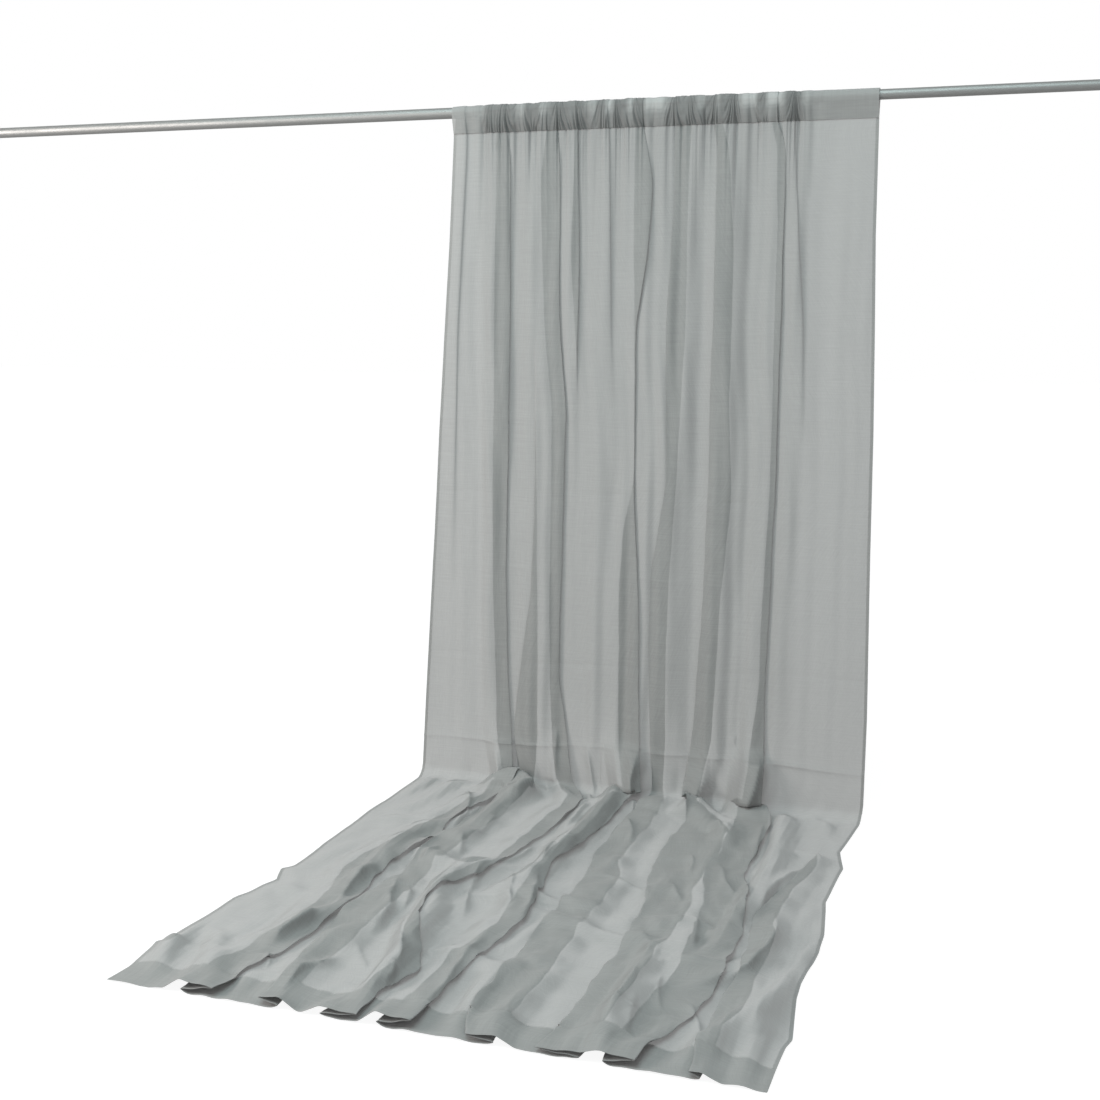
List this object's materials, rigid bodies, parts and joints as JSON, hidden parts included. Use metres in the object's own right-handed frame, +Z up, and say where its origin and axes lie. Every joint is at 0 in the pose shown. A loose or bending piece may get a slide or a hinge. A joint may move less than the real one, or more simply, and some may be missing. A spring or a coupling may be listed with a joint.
{
  "type": "rod pocket curtain on a telescopic rod",
  "caption": "Sheer grey voile curtain gathered by its rod pocket on a telescopic metal rod with wall brackets, its long end pooled on the floor.",
  "frame": {"origin": "on the wall plane at the height of the rod's axis, midway between the two brackets", "axes": "+X along the rod, to the right seen from the room; -Y into the room; +Z up"},
  "size_m": [4.4366, 1.996, 2.477],
  "materials": {
    "brushed_rod": "satin brushed along the tube",
    "bracket_metal": "satin",
    "screw_steel": "zinc plated",
    "nylon": "smooth natural nylon",
    "voile": "sheer plain-weave polyester voile",
    "hem_voile": "the same voile doubled and stitched"
  },
  "bodies": {
    "wall_support": {"outer_tube": "brushed_rod", "joiner_bush": "nylon", "left_end_plug": "nylon", "left_wall_plate": "bracket_metal", "left_upper_wall_screw": "screw_steel", "left_lower_wall_screw": "screw_steel", "left_arm_grub_screw": "screw_steel", "left_arm": "bracket_metal", "left_cradle": "bracket_metal", "right_wall_plate": "bracket_metal", "right_upper_wall_screw": "screw_steel", "right_lower_wall_screw": "screw_steel", "right_arm_grub_screw": "screw_steel", "right_arm": "bracket_metal", "right_cradle": "bracket_metal"},
    "inner_rod": {"inner_tube": "brushed_rod", "right_end_plug": "nylon"},
    "left_finial": {"left_finial": "brushed_rod"},
    "right_finial": {"right_finial": "brushed_rod"},
    "left_cradle_screw": {"left_cradle_screw": "screw_steel"},
    "right_cradle_screw": {"right_cradle_screw": "screw_steel"},
    "curtain": {"rod_pocket": "hem_voile", "hanging_panel": "voile", "floor_bend": "voile", "train": "voile", "bottom_hem": "hem_voile", "right_side_hem": "hem_voile", "right_train_hem": "hem_voile"},
    "leading_edge": {"left_side_hem": "hem_voile", "left_train_hem": "hem_voile"}
  },
  "joints": [
    {"name": "curtain_slide", "type": "slide", "parent": "wall_support", "child": "curtain", "axis": [1, 0, 0], "range_m": [-2.03, 0.69]},
    {"name": "curtain_gather", "type": "slide", "parent": "curtain", "child": "leading_edge", "axis": [1, 0, 0], "range_m": [0, 0.95], "deforming": ["rod_pocket", "hanging_panel", "floor_bend", "train", "bottom_hem"]},
    {"name": "rod_extend", "type": "slide", "parent": "wall_support", "child": "inner_rod", "axis": [1, 0, 0], "range_m": [-0.03, 0.24]},
    {"name": "left_finial_turn", "type": "hinge", "parent": "wall_support", "child": "left_finial", "pos_m": [-2.18, -0.09, 0], "axis": [-1, 0, 0], "range_deg": [0, 540]},
    {"name": "right_finial_turn", "type": "hinge", "parent": "inner_rod", "child": "right_finial", "pos_m": [2.18, -0.09, 0], "axis": [1, 0, 0], "range_deg": [0, 540]},
    {"name": "left_cradle_screw_turn", "type": "hinge", "parent": "wall_support", "child": "left_cradle_screw", "pos_m": [-2.135, -0.09, -0.025], "axis": [0, 0, -1], "range_deg": [0, 540]},
    {"name": "right_cradle_screw_turn", "type": "hinge", "parent": "wall_support", "child": "right_cradle_screw", "pos_m": [2.135, -0.09, -0.025], "axis": [0, 0, -1], "range_deg": [0, 540]}
  ]
}
